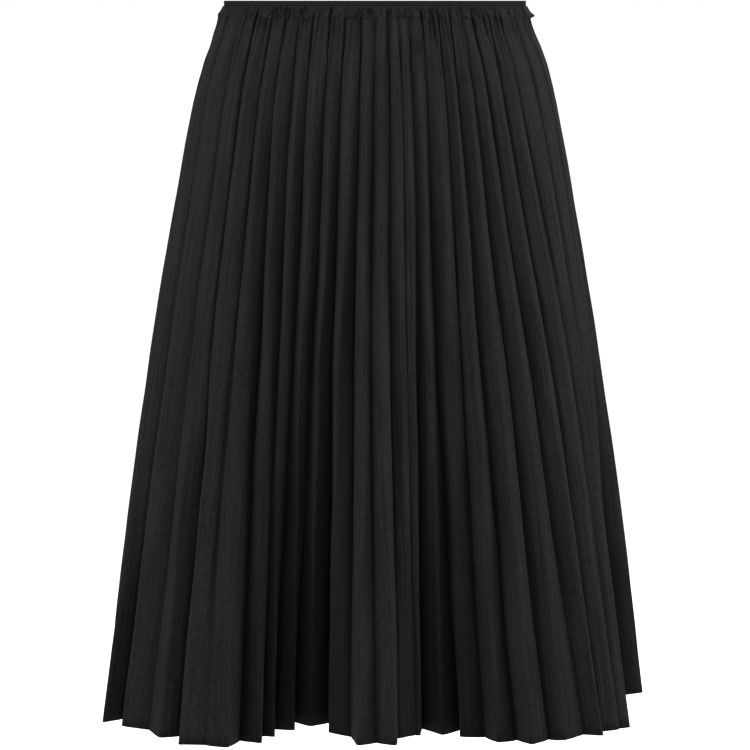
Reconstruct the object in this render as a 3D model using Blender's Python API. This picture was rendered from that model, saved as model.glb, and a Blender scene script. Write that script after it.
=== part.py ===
"""A knee-length skirt of fine sunray pleats, filled out as it hangs with no wearer.

Metres, +Z up, +X to the wearer's left, the front faces -Y. The origin is the middle of the waist,
level with the top edge of the elastic. Every piece is a wall that runs from section to section,
each section a closed or open line of points at one height.
"""
import math
from collections import namedtuple

import bmesh
import bpy

MM = 0.001

# Driving dimensions
LENGTH = 600 * MM            # top edge of the elastic to the hem
CLOTH = 1.3 * MM             # wall of the pleated cloth
SEAM_GAP = 0.3 * MM          # between neighbouring pieces
SEAM_SHARE = 0.3             # how far past the seam's valley each front edge reaches, of a face

ELASTIC_HALF_WIDTH = 127 * MM
ELASTIC_HALF_DEPTH = 95 * MM
ELASTIC_HEIGHT = 20 * MM
ELASTIC_WALL = 1.4 * MM
ELASTIC_CROWN = 0.25 * MM    # how far the band's edges are drawn in from its middle
ELASTIC_SIDES = 96
# The band's crown: shares of its height, and of the crown that its faces are drawn in there.
CrownRow = namedtuple("CrownRow", "height drawn_in")
ELASTIC_CROWN_ROWS = (
    CrownRow(0.0, 1.0),
    CrownRow(0.15, 0.3),
    CrownRow(0.5, 0.0),
    CrownRow(0.85, 0.3),
    CrownRow(1.0, 1.0),
)

FRILL_WAVES = 92
FRILL_WALL = 1.0 * MM
FRILL_UNEVEN = 0.15          # how much the waves' depth swells and shrinks
FRILL_SWELLS = 7             # as many times round the waist
LONGEST_MITRE = 2.0          # a tight fold's corner, as a multiple of half the wall

FLUTES_START = 100 * MM      # the large flutes begin this far below the waist
FLUTES_GROWTH = 1.5          # and deepen by this power of the drop
MID_DROP = 300 * MM          # where a fold's middle angle is given

# The hanging form: a section's half width and its depth to the front and back at the ridges,
# and how deep its pleats are. Millimetres; drop is the distance below the waist.
Section = namedtuple("Section", "drop half_width front back pleat")
SECTIONS = (
    Section(14.5, 131.2, 99.2, 99.2, 3.2),
    Section(24, 134.4, 102.2, 102.6, 5.0),
    Section(42, 141.0, 107.5, 109.0, 6.8),
    Section(62, 147.0, 111.5, 114.5, 8.0),
    Section(92, 154.0, 116.5, 121.5, 9.5),
    Section(132, 162.0, 121.0, 128.0, 11.5),
    Section(176, 170.0, 124.5, 132.0, 13.0),
    Section(240, 181.5, 130.0, 136.5, 14.5),
    Section(315, 194.0, 138.0, 142.0, 16.0),
    Section(400, 207.0, 149.0, 149.0, 18.0),
    Section(500, 220.0, 161.0, 158.0, 20.0),
    Section(600, 232.0, 173.0, 166.0, 22.0),
)

# The front's folds, from the left seam to the right one. Each row is a valley and the ridge after
# it: the valley's angle round the waist from the front centre, near the waist and half way down,
# in degrees, and where the valley and the ridge stand at the hem, in millimetres.
Fold = namedtuple("Fold", "top mid valley_x valley_y ridge_x ridge_y")
FRONT_FOLDS = (
    Fold(-90.0, -90.0, -205, -2, -229, -20),
    Fold(-80.0, -80.0, -207, -38, -227, -78),
    Fold(-69.0, -69.0, -206, -56, -209, -91),
    Fold(-57.0, -55.5, -187, -104, -178, -138),
    Fold(-49.2, -48.2, -155, -132, -159, -164),
    Fold(-40.5, -40.2, -139, -161, -119, -174),
    Fold(-34.3, -32.3, -111, -147, -93, -158),
    Fold(-27.8, -26.4, -97, -130, -83, -135),
    Fold(-22.2, -21.7, -88, -105, -67, -108),
    Fold(-15.8, -16.1, -71, -73, -53, -95),
    Fold(-10.3, -11.8, -35, -76, -38, -117),
    Fold(-4.8, -5.3, -18, -134, -14, -167),
    Fold(-0.2, -1.7, 2, -151, 17, -167),
    Fold(5.0, 4.1, 14, -131, 28, -132),
    Fold(8.6, 8.2, 30, -126, 38, -127),
    Fold(12.1, 11.0, 35, -102, 55, -127),
    Fold(16.9, 15.9, 72, -106, 70, -135),
    Fold(23.2, 22.8, 93, -130, 99, -156),
    Fold(29.0, 29.0, 115, -144, 126, -164),
    Fold(32.6, 36.2, 145, -139, 154, -148),
    Fold(37.2, 43.4, 171, -120, 186, -129),
    Fold(44.0, 50.4, 183, -108, 198, -109),
    Fold(51.0, 58.4, 200, -103, 213, -95),
    Fold(60.8, 68.0, 188, -62, 207, -40),
    Fold(74.0, 78.5, 184, -14, 211, 6),
    Fold(87.0, 89.0, 198, 24, 234, 46),
)
# The valley at the right seam, which ends the front.
Seam = namedtuple("Seam", "top mid valley_x valley_y")
RIGHT_SEAM = Seam(97.0, 98.0, 204, 58)

# The back's folds are even but for the flutes: each row is a flute's place along the back from
# the right seam to the left one, its half width as a share of that line, and its depth.
BACK_FOLDS = 25
BACK_UNEVEN = 0.2            # how much the back's folds differ in width,
UNEVEN_LONG = 2.4            # in two waves that never fall into step,
UNEVEN_SHORT = 5.1           # radians a fold
BACK_PLEAT_SHARE = 0.85      # their depth as a share of the section's
RIGHT_SEAM_TURN = 15.0       # how far back the right seam has swung at the hem, degrees
BACK_STEPS = 400             # steps in the line that the back's folds are spaced along
Flute = namedtuple("Flute", "place spread depth")
BACK_FLUTES = (
    Flute(0.16, 0.075, 52),
    Flute(0.37, 0.070, 44),
    Flute(0.60, 0.078, 58),
    Flute(0.83, 0.070, 48),
)

# The frill's middle line: drop, how far it stands outside the elastic, and its waves' depth.
FrillRow = namedtuple("FrillRow", "drop stand wave")
FRILL_ROWS = (
    FrillRow(5.2, 1.4, 1.0),
    FrillRow(9.6, 2.6, 2.2),
    FrillRow(14.2, 3.2, 3.0),
)

Finish = namedtuple("Finish", "colour roughness metallic")
ELASTIC_FINISH = Finish((0.012, 0.013, 0.016), 0.62, 0.0)
FRILL_FINISH = Finish((0.011, 0.011, 0.012), 0.90, 0.0)
CLOTH_FINISH = Finish((0.014, 0.014, 0.015), 0.85, 0.0)


def between(a, b, share):
    """The value or point that lies a share of the way from a to b."""
    if isinstance(a, (int, float)):
        return a + (b - a) * share
    return tuple(p + (q - p) * share for p, q in zip(a, b))


def section_at(drop):
    """The hanging form's section at a drop below the waist, read between the table's rows."""
    for upper, lower in zip(SECTIONS, SECTIONS[1:]):
        if drop <= lower.drop:
            break
    share = (drop - upper.drop) / (lower.drop - upper.drop)
    return Section(*(between(p, q, share) for p, q in zip(upper, lower)))


def flute_growth(drop):
    """How far the flutes have opened at a drop below the waist: 0 at the hips, 1 at the hem."""
    start = FLUTES_START / MM
    share = max(0.0, (drop - start) / (LENGTH / MM - start))
    return share ** FLUTES_GROWTH


def oval(angle, half_width, half_depth):
    """A point of an oval, its angle in degrees from the front centre, turning to +X."""
    turn = math.radians(angle)
    return half_width * math.sin(turn), -half_depth * math.cos(turn)


def fold_angle(fold, drop):
    """The angle of a fold's valley at a drop: from top to mid, and steady below that."""
    share = min(1.0, drop / (MID_DROP / MM))
    return between(fold.top, fold.mid, share)


def hem_bound(point, hem_point, section, hem, growth):
    """A point of the upper form, drawn towards where its fold stands at the hem."""
    hung = (hem_point[0] * section.half_width / hem.half_width,
            hem_point[1] * section.front / hem.front)
    return between(point, hung, growth)


def front_line(drop):
    """The front's valleys and ridges at one height, from the left seam's valley to the right's."""
    section, hem = section_at(drop), SECTIONS[-1]
    growth = flute_growth(drop)
    folds = FRONT_FOLDS + (RIGHT_SEAM,)
    line = []
    for fold, after in zip(folds, folds[1:]):
        angle = fold_angle(fold, drop)
        crest = between(angle, fold_angle(after, drop), 0.5)
        valley = oval(angle, section.half_width - section.pleat, section.front - section.pleat)
        ridge = oval(crest, section.half_width, section.front)
        line.append(hem_bound(valley, (fold.valley_x, fold.valley_y), section, hem, growth))
        line.append(hem_bound(ridge, (fold.ridge_x, fold.ridge_y), section, hem, growth))
    last = oval(fold_angle(RIGHT_SEAM, drop), section.half_width - section.pleat,
                section.front - section.pleat)
    line.append(hem_bound(last, (RIGHT_SEAM.valley_x, RIGHT_SEAM.valley_y), section, hem, growth))
    return line


def back_mean_line(drop):
    """The smooth line half way between the back's ridges and valleys, from right to left."""
    section = section_at(drop)
    growth = flute_growth(drop)
    start = RIGHT_SEAM.top + RIGHT_SEAM_TURN * growth
    line = []
    for step in range(BACK_STEPS + 1):
        place = step / BACK_STEPS
        inward = BACK_PLEAT_SHARE * section.pleat / 2
        for flute in BACK_FLUTES:
            reach = (place - flute.place) / flute.spread
            inward += growth * flute.depth * math.exp(-reach * reach)
        x, y = oval(between(start, 270.0, place), section.half_width, section.back)
        size = math.hypot(x, y)
        line.append((x * (1 - inward / size), y * (1 - inward / size)))
    return line


def along(line, shares):
    """Points and directions at shares of a line's length."""
    runs = [0.0]
    for a, b in zip(line, line[1:]):
        runs.append(runs[-1] + math.dist(a, b))
    found = []
    piece = 0
    for share in shares:
        want = share * runs[-1]
        while piece < len(line) - 2 and runs[piece + 1] < want:
            piece += 1
        a, b = line[piece], line[piece + 1]
        length = runs[piece + 1] - runs[piece]
        point = between(a, b, (want - runs[piece]) / length)
        found.append((point, ((b[0] - a[0]) / length, (b[1] - a[1]) / length)))
    return found


def back_shares():
    """Where each of the back's folds stands along its line, as uneven shares of the length."""
    widths = [1 + BACK_UNEVEN * (math.sin(UNEVEN_LONG * k) + math.sin(UNEVEN_SHORT * k) / 2)
              for k in range(2 * BACK_FOLDS)]
    total = sum(widths)
    shares = []
    reached = 0.0
    for width in widths[:-1]:
        reached += width / total
        shares.append(reached)
    return shares


def back_line(drop):
    """The back's ridges and valleys at one height, from its first ridge to its last one."""
    half = BACK_PLEAT_SHARE * section_at(drop).pleat / 2
    line = []
    for number, (point, way) in enumerate(along(back_mean_line(drop), back_shares())):
        side = half if number % 2 == 0 else -half
        line.append((point[0] + way[1] * side, point[1] - way[0] * side))
    return line


def metres(line):
    """A line of points in metres."""
    return [(x * MM, y * MM) for x, y in line]


def step_towards(a, b, distance):
    """The point a given distance from a towards b."""
    return between(a, b, distance / math.dist(a, b))


def panel_lines(drop):
    """The front's and the back's middle lines at one height, parted by the seam gap."""
    front, back = metres(front_line(drop)), metres(back_line(drop))
    right = between(front[-1], back[0], SEAM_SHARE)
    left = between(front[0], back[-1], SEAM_SHARE)
    front_cut = [left] + front + [right]
    back_cut = [step_towards(right, back[0], SEAM_GAP)] + back
    back_cut.append(step_towards(left, back[-1], SEAM_GAP))
    return front_cut, back_cut


def offset_line(line, distance, closed):
    """The line moved sideways to its right, mitred at each fold and blunted at tight ones."""
    count = len(line)
    moved = []
    for k, point in enumerate(line):
        before = line[k - 1] if closed or k > 0 else None
        after = line[(k + 1) % count] if closed or k < count - 1 else None
        normals = []
        for a, b in ((before, point), (point, after)):
            if a is not None and b is not None:
                length = math.dist(a, b)
                normals.append(((b[1] - a[1]) / length, -(b[0] - a[0]) / length))
        x = sum(n[0] for n in normals) / len(normals)
        y = sum(n[1] for n in normals) / len(normals)
        size = math.hypot(x, y)
        mitre = min(1 / size, LONGEST_MITRE)
        moved.append((point[0] + x / size * distance * mitre,
                      point[1] + y / size * distance * mitre))
    return moved


def wall(rings, closed):
    """A wall through sections, from top to bottom.

    Each ring is its outer line, its inner line and its height; the outer side lies to the right
    of the line's way. A closed wall goes all round, an open one has two end faces.
    """
    mesh = bmesh.new()
    rows = []
    for outer, inner, height in rings:
        rows.append(([mesh.verts.new((x, y, height)) for x, y in outer],
                     [mesh.verts.new((x, y, height)) for x, y in inner]))
    count = len(rows[0][0])
    spans = count if closed else count - 1
    for (outer, inner), (outer_low, inner_low) in zip(rows, rows[1:]):
        for k in range(spans):
            n = (k + 1) % count
            mesh.faces.new((outer[k], outer_low[k], outer_low[n], outer[n]))
            mesh.faces.new((inner[k], inner[n], inner_low[n], inner_low[k]))
        if not closed:
            mesh.faces.new((outer[0], inner[0], inner_low[0], outer_low[0]))
            mesh.faces.new((outer[-1], outer_low[-1], inner_low[-1], inner[-1]))
    top, bottom = rows[0], rows[-1]
    for k in range(spans):
        n = (k + 1) % count
        mesh.faces.new((top[0][k], top[0][n], top[1][n], top[1][k]))
        mesh.faces.new((bottom[0][k], bottom[1][k], bottom[1][n], bottom[0][n]))
    bmesh.ops.triangulate(mesh, faces=mesh.faces[:], quad_method="FIXED")
    return mesh


def sided(line, thickness, height, closed):
    """A wall's ring: its middle line moved out and in by half the thickness."""
    return (offset_line(line, thickness / 2, closed),
            offset_line(line, -thickness / 2, closed), height)


def add_object(name, mesh, finish):
    """Put a finished mesh in the scene under its name, in its own material."""
    material = bpy.data.materials.new(name)
    material.use_nodes = True
    shader = material.node_tree.nodes["Principled BSDF"]
    shader.inputs["Base Color"].default_value = (*finish.colour, 1.0)
    shader.inputs["Roughness"].default_value = finish.roughness
    shader.inputs["Metallic"].default_value = finish.metallic
    data = bpy.data.meshes.new(name)
    mesh.to_mesh(data)
    mesh.free()
    data.materials.append(material)
    piece = bpy.data.objects.new(name, data)
    bpy.context.collection.objects.link(piece)
    return piece


def make_panels():
    """The pleated front and back, each one wall from the frill to the hem."""
    front_rings, back_rings = [], []
    for section in SECTIONS:
        height = -section.drop * MM
        front, back = panel_lines(section.drop)
        front_rings.append(sided(front, CLOTH, height, False))
        back_rings.append(sided(back, CLOTH, height, False))
    add_object("skirt_front", wall(front_rings, False), CLOTH_FINISH)
    add_object("skirt_back", wall(back_rings, False), CLOTH_FINISH)


def make_elastic():
    """The elastic band: a level ring with slightly crowned faces."""
    rings = []
    for row in ELASTIC_CROWN_ROWS:
        inset = ELASTIC_CROWN * row.drawn_in
        outer, inner = [], []
        for side in range(ELASTIC_SIDES):
            angle = 360.0 * side / ELASTIC_SIDES
            outer.append(oval(angle, ELASTIC_HALF_WIDTH - inset, ELASTIC_HALF_DEPTH - inset))
            inner.append(oval(angle, ELASTIC_HALF_WIDTH - ELASTIC_WALL + inset,
                              ELASTIC_HALF_DEPTH - ELASTIC_WALL + inset))
        rings.append((outer, inner, -ELASTIC_HEIGHT * row.height))
    add_object("waist_elastic", wall(rings, True), ELASTIC_FINISH)


def make_frill():
    """The gathered heading: a ring of fine waves that open out downwards."""
    points = 2 * FRILL_WAVES
    rings = []
    for row in FRILL_ROWS:
        line = []
        for k in range(points):
            turn = 2 * math.pi * k / points
            stand = row.stand * MM
            if k % 2:
                stand += row.wave * MM * (1 + FRILL_UNEVEN * math.sin(FRILL_SWELLS * turn))
            line.append(oval(math.degrees(turn), ELASTIC_HALF_WIDTH + stand,
                             ELASTIC_HALF_DEPTH + stand))
        rings.append(sided(line, FRILL_WALL, -row.drop * MM, True))
    add_object("waist_frill", wall(rings, True), FRILL_FINISH)


def main():
    """Build the skirt."""
    for old in list(bpy.data.objects):
        bpy.data.objects.remove(old, do_unlink=True)
    make_elastic()
    make_frill()
    make_panels()


main()
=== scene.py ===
"""Looks of a near-black knee-length skirt of fine sunray pleats, filled out as it is worn.

The skirt hangs from its waist, whose middle is the origin. +Z is up and the front faces -Y.
Sizes in the tables are millimetres and degrees; everything that is built is in metres. A
drop is always the distance below the waist.
"""
import bisect
import logging
import math
from collections.abc import Callable, Sequence
from dataclasses import astuple, dataclass, field
from enum import Enum
from itertools import accumulate, pairwise

import bmesh
import bpy
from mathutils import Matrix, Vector, noise


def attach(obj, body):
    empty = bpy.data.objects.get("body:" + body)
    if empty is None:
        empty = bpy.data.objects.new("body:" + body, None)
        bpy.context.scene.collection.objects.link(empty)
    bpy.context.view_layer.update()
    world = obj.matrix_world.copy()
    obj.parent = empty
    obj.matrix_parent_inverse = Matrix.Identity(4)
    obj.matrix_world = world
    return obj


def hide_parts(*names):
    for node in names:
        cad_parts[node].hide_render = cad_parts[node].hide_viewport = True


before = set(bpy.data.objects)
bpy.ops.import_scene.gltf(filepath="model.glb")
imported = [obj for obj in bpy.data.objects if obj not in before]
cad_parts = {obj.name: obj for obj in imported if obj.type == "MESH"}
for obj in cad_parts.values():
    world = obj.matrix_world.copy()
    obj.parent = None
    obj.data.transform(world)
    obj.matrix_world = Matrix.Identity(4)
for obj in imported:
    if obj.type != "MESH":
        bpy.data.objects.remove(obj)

LOG = logging.getLogger("skirt")
MM = 0.001
ROOT_BODY = "root"
UV_LAYER = "cloth"
# Painted shade: the vertex attribute, named depth, that says how far the cloth's colour is
# blended to black in folds, troughs, recesses and shaded patches.
PAINTED_SHADE_LAYER = "depth"
MERGE_REACH = 0.00001
BAND_PITCH = math.tau / 20  # from one band of a Wave Texture to the next, at scale 1

Point = tuple[float, float]
Line = list[Point]
Colour = tuple[float, float, float, float]
Socket = bpy.types.NodeSocket


class Panel(Enum):
    """The two pleated panels."""

    FRONT = "skirt_front"
    BACK = "skirt_back"


@dataclass(frozen=True)
class Section:
    """A level section of the hanging form, at a drop."""

    drop: float
    half_width: float
    front: float
    back: float
    pleat: float


SECTIONS = (
    Section(14.5, 131.2, 99.2, 99.2, 3.2),
    Section(24, 134.4, 102.2, 102.6, 5.0),
    Section(42, 141.0, 107.5, 109.0, 6.8),
    Section(62, 147.0, 111.5, 114.5, 8.0),
    Section(92, 154.0, 116.5, 121.5, 9.5),
    Section(132, 162.0, 121.0, 128.0, 11.5),
    Section(176, 170.0, 124.5, 132.0, 13.0),
    Section(240, 181.5, 130.0, 136.5, 14.5),
    Section(315, 194.0, 138.0, 142.0, 16.0),
    Section(400, 207.0, 149.0, 149.0, 18.0),
    Section(500, 220.0, 161.0, 158.0, 20.0),
    Section(600, 232.0, 173.0, 166.0, 22.0),
)


@dataclass(frozen=True)
class Fold:
    """A valley and the ridge after it: angles round the waist, and places at the hem.

    The shades say how deep the valley is and how much painted shade it gets, at the three drops
    of SHADE_DROPS: 0 is hardly a fold, 1 is a full one, and more than 1 is a full one with a
    wider painted shade.
    """

    top: float
    mid: float
    valley: Point
    ridge: Point = (0.0, 0.0)
    shades: tuple[float, float, float] = (0.4, 0.4, 0.4)


SHADE_DROPS = (90.0, 250.0, 505.0)
FRONT_FOLDS = (
    Fold(-90.0, -90.0, (-205, -2), (-229, -20)),
    Fold(-80.0, -80.0, (-207, -38), (-227, -78), (0.3, 0.3, 0.7)),
    Fold(-69.0, -69.0, (-206, -56), (-209, -91), (0.2, 0.25, 0.7)),
    Fold(-55.4, -53.2, (-182, -105), (-175, -138), (0.4, 0.25, 0.45)),
    Fold(-48.5, -46.2, (-155, -132), (-159, -164), (0.5, 0.1, 1.4)),
    Fold(-39.9, -38.9, (-136, -161), (-119, -174), (0.75, 0.35, 0.25)),
    Fold(-34.3, -32.3, (-111, -147), (-91, -158), (0.95, 0.95, 0.85)),
    Fold(-27.8, -26.2, (-95, -130), (-81, -135), (0.95, 0.95, 0.9)),
    Fold(-22.2, -21.7, (-87, -105), (-65, -108), (1.05, 1.1, 1.15)),
    Fold(-15.8, -16.1, (-71, -73), (-53, -95), (0.95, 1.1, 1.2)),
    Fold(-10.3, -11.8, (-35, -76), (-38, -117), (1.05, 1.2, 1.2)),
    Fold(-4.8, -5.3, (-18, -134), (-14, -167), (1.1, 1.1, 0.8)),
    Fold(-0.2, -1.7, (2, -151), (17, -167), (1.2, 0.65, 0.45)),
    Fold(5.0, 4.1, (14, -131), (28, -132), (0.8, 0.8, 0.35)),
    Fold(8.6, 8.2, (30, -126), (37, -127), (0.1, 0.0, 0.0)),
    Fold(12.1, 11.0, (38, -102), (55, -127), (0.75, 1.0, 1.0)),
    Fold(16.9, 15.2, (72, -106), (69, -135), (1.0, 0.9, 1.25)),
    Fold(23.2, 22.8, (93, -130), (99, -156), (0.85, 0.5, 0.6)),
    Fold(27.6, 27.4, (116, -144), (126, -164), (1.0, 0.8, 0.7)),
    Fold(32.6, 34.8, (142, -139), (154, -148), (0.85, 0.45, 0.62)),
    Fold(37.2, 41.4, (172, -120), (186, -129), (0.45, 0.6, 0.5)),
    Fold(44.0, 49.6, (183, -108), (198, -109), (0.6, 0.45, 0.45)),
    Fold(51.0, 58.4, (200, -103), (211, -95), (0.45, 0.2, 0.35)),
    Fold(60.8, 68.0, (188, -62), (199, -41), (0.2, 0.35, 1.1)),
    Fold(74.0, 78.5, (184, -14), (195, 3), (0.2, 0.35, 0.9)),
    Fold(87.0, 89.0, (198, 24), (234, 46), (0.4, 0.9, 1.85)),
)
RIGHT_SEAM = Fold(97.0, 98.0, (204, 58))


@dataclass(frozen=True)
class Flute:
    """A flute of the back: its place and half width along the back, and its depth."""

    place: float
    spread: float
    depth: float


BACK_FLUTES = (
    Flute(0.16, 0.075, 52),
    Flute(0.37, 0.070, 44),
    Flute(0.60, 0.078, 58),
    Flute(0.83, 0.070, 48),
)


def between(a: float, b: float, share: float) -> float:
    """The number a share of the way from a to b."""
    return a + (b - a) * share


def between_points(a: Point, b: Point, share: float) -> Point:
    """The point a share of the way from a to b."""
    return between(a[0], b[0], share), between(a[1], b[1], share)


def towards(a: Point, b: Point, reach: float) -> Point:
    """The point a distance from a towards b, or away from b if that is less than 0."""
    return between_points(a, b, reach / math.dist(a, b))


def clamped(value: float, most: float = 1.0) -> float:
    """A number kept from 0 to the most it may be."""
    return min(most, max(0.0, value))


def fading(distance: float, reach: float, power: float = 2.0) -> float:
    """How much of something is left at a distance, as it fades away over its reach."""
    return math.exp(-(distance / reach) ** power)


def oval(angle: float, half_width: float, half_depth: float) -> Point:
    """A point of an oval, its angle in degrees from the front centre, turning to +X."""
    turn = math.radians(angle)
    return half_width * math.sin(turn), -half_depth * math.cos(turn)


def run_lengths(points: Sequence[Point]) -> list[float]:
    """How far along a line each of its points is."""
    return [0.0, *accumulate(math.dist(a, b) for a, b in pairwise(points))]


@dataclass(frozen=True)
class Ripple:
    """Smooth chance swells: their height and length, and what sets them apart from others."""

    height: float
    across: float
    down: float = 1.0
    seed: float = 0.0
    start: float = 0.0

    def at(self, across: float, down: float = 0.0, seed: float = 0.0) -> float:
        """The swell's height at a place, the same on each run."""
        return self.height * noise.noise(Vector((
            across / self.across, self.start + down / self.down, seed + self.seed)))


@dataclass(frozen=True)
class HangingForm:
    """How the skirt hangs: where each fold's valley and ridge stand at any height."""

    length: float = 600.0
    flutes_start: float = 100.0
    flutes_power: float = 1.5
    mid_drop: float = 300.0
    back_folds: int = 25
    back_uneven: float = 0.2
    uneven_long: float = 2.4
    uneven_short: float = 5.1
    back_pleat_share: float = 0.85
    right_seam_turn: float = 15.0
    left_seam_angle: float = 270.0
    back_steps: int = 240
    seam_share: float = 0.3
    seam_lap: float = 0.15

    def section(self, drop: float) -> Section:
        """Find the section at a drop, on a smooth curve through the table's rows.

        Args:
            drop: where to look.

        Returns:
            The section there.
        """
        last = len(SECTIONS) - 2
        row = 0
        while row < last and drop > SECTIONS[row + 1].drop:
            row += 1
        rows = [astuple(SECTIONS[max(0, min(last + 1, row + step))]) for step in (-1, 0, 1, 2)]
        before, start, end, after = rows
        span = end[0] - start[0]
        share = (drop - start[0]) / span
        found = []
        for a, b, c, d in zip(*rows):
            lean_in = (c - a) / max(end[0] - before[0], span) * span
            lean_out = (d - b) / max(after[0] - start[0], span) * span
            found.append(self.eased(b, c, lean_in, lean_out, share))
        return Section(drop, *found[1:])

    @staticmethod
    def eased(start: float, end: float, lean_in: float, lean_out: float, share: float) -> float:
        """A point of the cubic from start to end with the given slopes at its ends."""
        square, cube = share ** 2, share ** 3
        return ((2 * cube - 3 * square + 1) * start + (cube - 2 * square + share) * lean_in
                + (3 * square - 2 * cube) * end + (cube - square) * lean_out)

    def growth(self, drop: float) -> float:
        """How far the flutes have opened: 0 at the hips, 1 at the hem."""
        share = (drop - self.flutes_start) / (self.length - self.flutes_start)
        return max(0.0, share) ** self.flutes_power

    def angle(self, fold: Fold, drop: float) -> float:
        """The angle of a fold's valley at a drop."""
        return between(fold.top, fold.mid, clamped(drop / self.mid_drop))

    def hung(self, point: Point, hem_place: Point, section: Section) -> Point:
        """Draw a point of the upper form towards where its fold stands at the hem.

        Args:
            point: its place on the upper form.
            hem_place: its place at the hem.
            section: the form's section at its height.

        Returns:
            Where it hangs.
        """
        hem = SECTIONS[-1]
        goal = (hem_place[0] * section.half_width / hem.half_width,
                hem_place[1] * section.front / hem.front)
        return between_points(point, goal, self.growth(section.drop))

    def front_line(self, drop: float) -> Line:
        """Place the front's valleys and ridges at one height.

        Args:
            drop: the height's drop.

        Returns:
            The line from the left seam to the right seam.
        """
        section = self.section(drop)
        low_width, low_front = section.half_width - section.pleat, section.front - section.pleat
        line = []
        for fold, after in pairwise(FRONT_FOLDS + (RIGHT_SEAM,)):
            angle = self.angle(fold, drop)
            crest = between(angle, self.angle(after, drop), 0.5)
            line.append(self.hung(oval(angle, low_width, low_front), fold.valley, section))
            line.append(self.hung(oval(crest, section.half_width, section.front),
                                  fold.ridge, section))
        last = oval(self.angle(RIGHT_SEAM, drop), low_width, low_front)
        line.append(self.hung(last, RIGHT_SEAM.valley, section))
        return line

    def back_mean_line(self, drop: float) -> Line:
        """Place the line half way between the back's ridges and its valleys.

        Args:
            drop: the height's drop.

        Returns:
            The line from the right seam to the left seam.
        """
        section = self.section(drop)
        growth = self.growth(drop)
        start = RIGHT_SEAM.top + self.right_seam_turn * growth
        line = []
        for step in range(self.back_steps + 1):
            place = step / self.back_steps
            inward = self.back_pleat_share * section.pleat / 2
            for flute in BACK_FLUTES:
                inward += growth * flute.depth * fading(place - flute.place, flute.spread)
            x, y = oval(between(start, self.left_seam_angle, place),
                        section.half_width, section.back)
            keep = 1 - inward / math.hypot(x, y)
            line.append((x * keep, y * keep))
        return line

    def back_shares(self) -> list[float]:
        """Space the back's ridges and valleys a little unevenly.

        Returns:
            Where each stands along the back's line, as a share of its length.
        """
        widths = [1 + self.back_uneven * (math.sin(self.uneven_long * k)
                                          + math.sin(self.uneven_short * k) / 2)
                  for k in range(2 * self.back_folds)]
        total = sum(widths)
        return [sum(widths[:k]) / total for k in range(1, len(widths))]

    def back_line(self, drop: float) -> Line:
        """Place the back's ridges and valleys at one height.

        Args:
            drop: the height's drop.

        Returns:
            The line from the first ridge to the last, right to left.
        """
        mean = self.back_mean_line(drop)
        half = self.back_pleat_share * self.section(drop).pleat / 2
        runs = run_lengths(mean)
        line = []
        piece = 0
        for number, share in enumerate(self.back_shares()):
            want = share * runs[-1]
            while piece < len(mean) - 2 and runs[piece + 1] < want:
                piece += 1
            a, b = mean[piece], mean[piece + 1]
            run = runs[piece + 1] - runs[piece]
            x, y = between_points(a, b, (want - runs[piece]) / run)
            side = half if number % 2 == 0 else -half
            line.append((x + (b[1] - a[1]) / run * side, y - (b[0] - a[0]) / run * side))
        return line

    def corners(self, panel: Panel, drop: float) -> Line:
        """Place a panel's valleys and ridges at one height, and its two cut edges.

        Args:
            panel: which panel.
            drop: the height's drop.

        Returns:
            The line, which has the outer side to the right of its way.
        """
        front, back = self.front_line(drop), self.back_line(drop)
        right = between_points(front[-1], back[0], self.seam_share)
        left = between_points(front[0], back[-1], self.seam_share)
        if panel is Panel.FRONT:
            return [left] + front + [right]
        start = towards(right, back[0], -self.seam_lap)
        return [start] + back + [towards(left, back[-1], -self.seam_lap)]


@dataclass(frozen=True)
class Clouds:
    """Noise over a piece's UVs: its swells to a metre each way, and how fine it gets."""

    across: float
    down: float
    detail: float
    roughness: float = 0.55


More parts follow.
